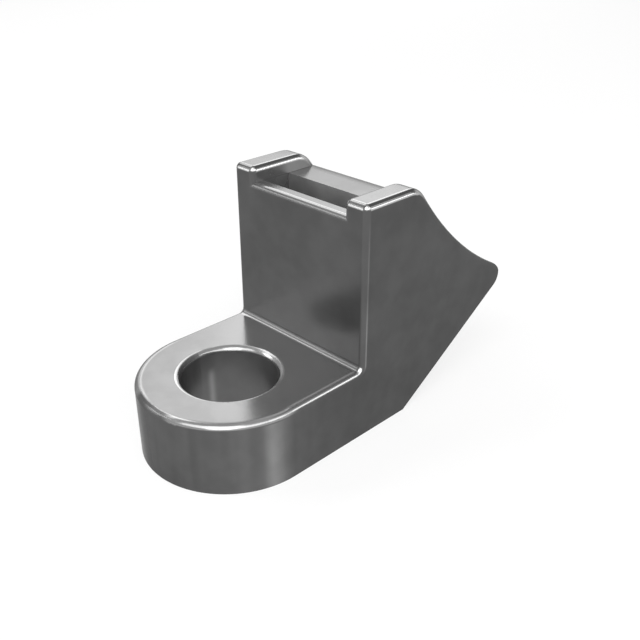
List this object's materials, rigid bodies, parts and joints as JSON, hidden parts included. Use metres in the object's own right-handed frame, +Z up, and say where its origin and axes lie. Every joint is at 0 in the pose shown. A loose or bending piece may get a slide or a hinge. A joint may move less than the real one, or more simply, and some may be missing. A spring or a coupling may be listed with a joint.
{
  "type": "wiring harness bracket",
  "caption": "Cast steel bracket with a round-ended bolt lug and a block whose notched, slotted top holds a wiring harness clip",
  "frame": {"origin": "on the bolt hole's axis, in the plane of the base", "axes": "+Z up along the bolt hole, +Y from the lug towards the nose, +X across the bracket, which is symmetric about X = 0"},
  "size_m": [0.025, 0.0555, 0.0335],
  "materials": {
    "steel": "bare cast steel, finely finished to a satin, softly reflecting grey"
  },
  "bodies": {
    "root": {"harness_bracket": "steel"}
  },
  "joints": []
}
